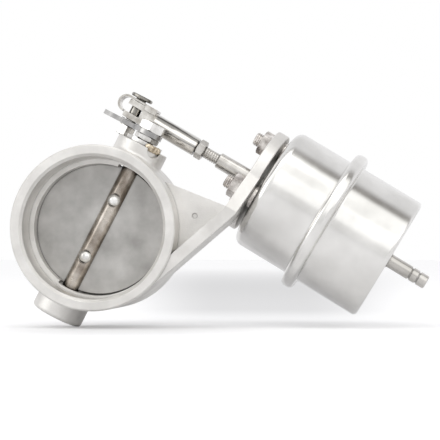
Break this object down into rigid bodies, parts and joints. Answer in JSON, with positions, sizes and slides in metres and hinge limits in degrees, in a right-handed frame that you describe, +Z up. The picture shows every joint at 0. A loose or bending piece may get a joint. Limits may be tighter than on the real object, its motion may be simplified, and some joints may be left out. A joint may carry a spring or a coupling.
{
  "type": "exhaust cutout valve",
  "caption": "Vacuum-operated butterfly valve for an exhaust pipe: cast body with pipe sockets, shaft, plate, lever, clevis and a round diaphragm canister.",
  "frame": {"origin": "middle of the inlet socket, on the bore's axis", "axes": "+Y along the bore from inlet to outlet, +X towards the canister, +Z up as pictured; the shaft leans 27.4 degrees from +Z towards +X"},
  "size_m": [0.1856, 0.0725, 0.1081],
  "materials": {
    "cast_stainless": "bead-blasted satin casting",
    "bush": "sintered, dull",
    "graphite": "pressed graphite",
    "turned_steel": "satin",
    "weld": "heat-tinted weld bead",
    "shaft_steel": "ground, slightly tinted",
    "plate_steel": "dark matt",
    "plated_steel": "bright plated",
    "can_steel": "brushed satin",
    "diaphragm_rubber": "matt",
    "pressed_steel": "satin",
    "spring_steel": "drawn wire"
  },
  "bodies": {
    "housing": {"valve_body": "cast_stainless", "upper_bush": "bush", "lower_bush": "bush", "shaft_seal": "graphite", "gland_washer": "turned_steel", "gland_weld": "weld", "front_can": "can_steel", "rear_can": "can_steel", "diaphragm": "diaphragm_rubber", "return_spring": "spring_steel", "spring_seat": "pressed_steel", "vacuum_nipple": "turned_steel", "actuator_studs": "turned_steel", "stud_ring": "pressed_steel", "stud_nuts": "turned_steel"},
    "shaft_group": {"valve_shaft": "shaft_steel", "valve_plate": "plate_steel", "plate_screws": "turned_steel", "lever": "turned_steel", "lever_nut": "turned_steel", "top_nut": "turned_steel"},
    "link_group": {"clevis": "plated_steel", "clevis_pin": "plated_steel", "pin_nut": "turned_steel", "spring_clip": "plated_steel", "pin_spacer": "turned_steel", "lock_nut": "turned_steel", "actuator_rod": "turned_steel"},
    "piston_group": {"piston_cup": "pressed_steel", "rod_socket": "pressed_steel", "spring_plate": "pressed_steel"}
  },
  "joints": [
    {"name": "valve_turn", "type": "hinge", "parent": "housing", "child": "shaft_group", "pos_m": [0, 0.01435, 0], "axis": [-0.4602, 0, -0.8878], "range_deg": [0, 90], "stiffness_Nm_per_rad": 0.5, "springref_deg": -45.84, "deforming": ["return_spring", "diaphragm"]},
    {"name": "clevis_swing", "type": "hinge", "parent": "shaft_group", "child": "link_group", "pos_m": [0.01383, 0.02708, 0.05433], "axis": [-0.4602, 0, -0.8878], "range_deg": [-91, 1]},
    {"name": "piston_slide", "type": "slide", "parent": "housing", "child": "piston_group", "axis": [0.8545, 0, -0.5195], "range_m": [-0.0001, 0.0255]}
  ],
  "couplings": [
    {"joint": "clevis_swing", "follows": "valve_turn", "ratio": -1},
    {"joint": "piston_slide", "follows": "valve_turn", "m_per_rad": 0.01617}
  ]
}
